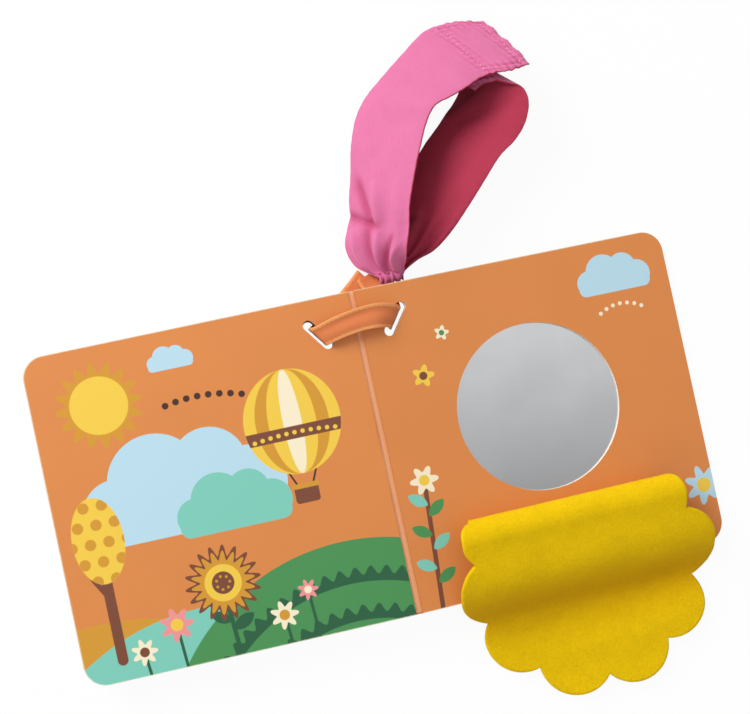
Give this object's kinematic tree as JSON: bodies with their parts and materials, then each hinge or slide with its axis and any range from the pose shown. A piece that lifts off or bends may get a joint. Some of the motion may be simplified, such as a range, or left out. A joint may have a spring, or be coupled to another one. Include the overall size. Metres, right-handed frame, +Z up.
{
  "type": "stroller book",
  "caption": "Felt-flap board book open at a mirror page, tied by a cotton tape to a soft loop that closes round a stroller bar.",
  "frame": {"origin": "on the table, under the middle of the outline of the whole book with its loop and felt flap", "axes": "+X across the spread towards the mirror page, +Y up the page towards the loop, +Z up from the table"},
  "size_m": [0.2395, 0.2511, 0.0245],
  "materials": {
    "printed_board": "satin laminated print on white board",
    "mirror_film": "slightly soft silvered film",
    "yellow_felt": "pressed felt",
    "orange_tape": "folded and topstitched plain-weave cotton",
    "pink_cotton": "plain-weave cotton, sewn tube",
    "hook_and_loop": "woven hook and loop tape"
  },
  "bodies": {
    "block": {"page_block": "printed_board", "spine_strip": "printed_board", "ribbon": "orange_tape", "strap": "pink_cotton", "hook_patch": "hook_and_loop", "loop_patch": "hook_and_loop"},
    "front_cover": {"front_cover": "printed_board"},
    "back_cover": {"back_cover": "printed_board", "mirror_page": "printed_board", "mirror_film": "mirror_film", "felt_flap": "yellow_felt"}
  },
  "joints": [
    {"name": "front_cover_hinge", "type": "hinge", "parent": "block", "child": "front_cover", "pos_m": [0.00097, 0, 0.0032], "axis": [0, -1, 0], "range_deg": [0, 175], "deforming": ["ribbon", "spine_strip"]},
    {"name": "back_cover_hinge", "type": "hinge", "parent": "block", "child": "back_cover", "pos_m": [0.00028, 0, 0.014], "axis": [0, -1, 0], "range_deg": [0, 185.6], "deforming": ["felt_flap", "ribbon", "spine_strip"]}
  ]
}
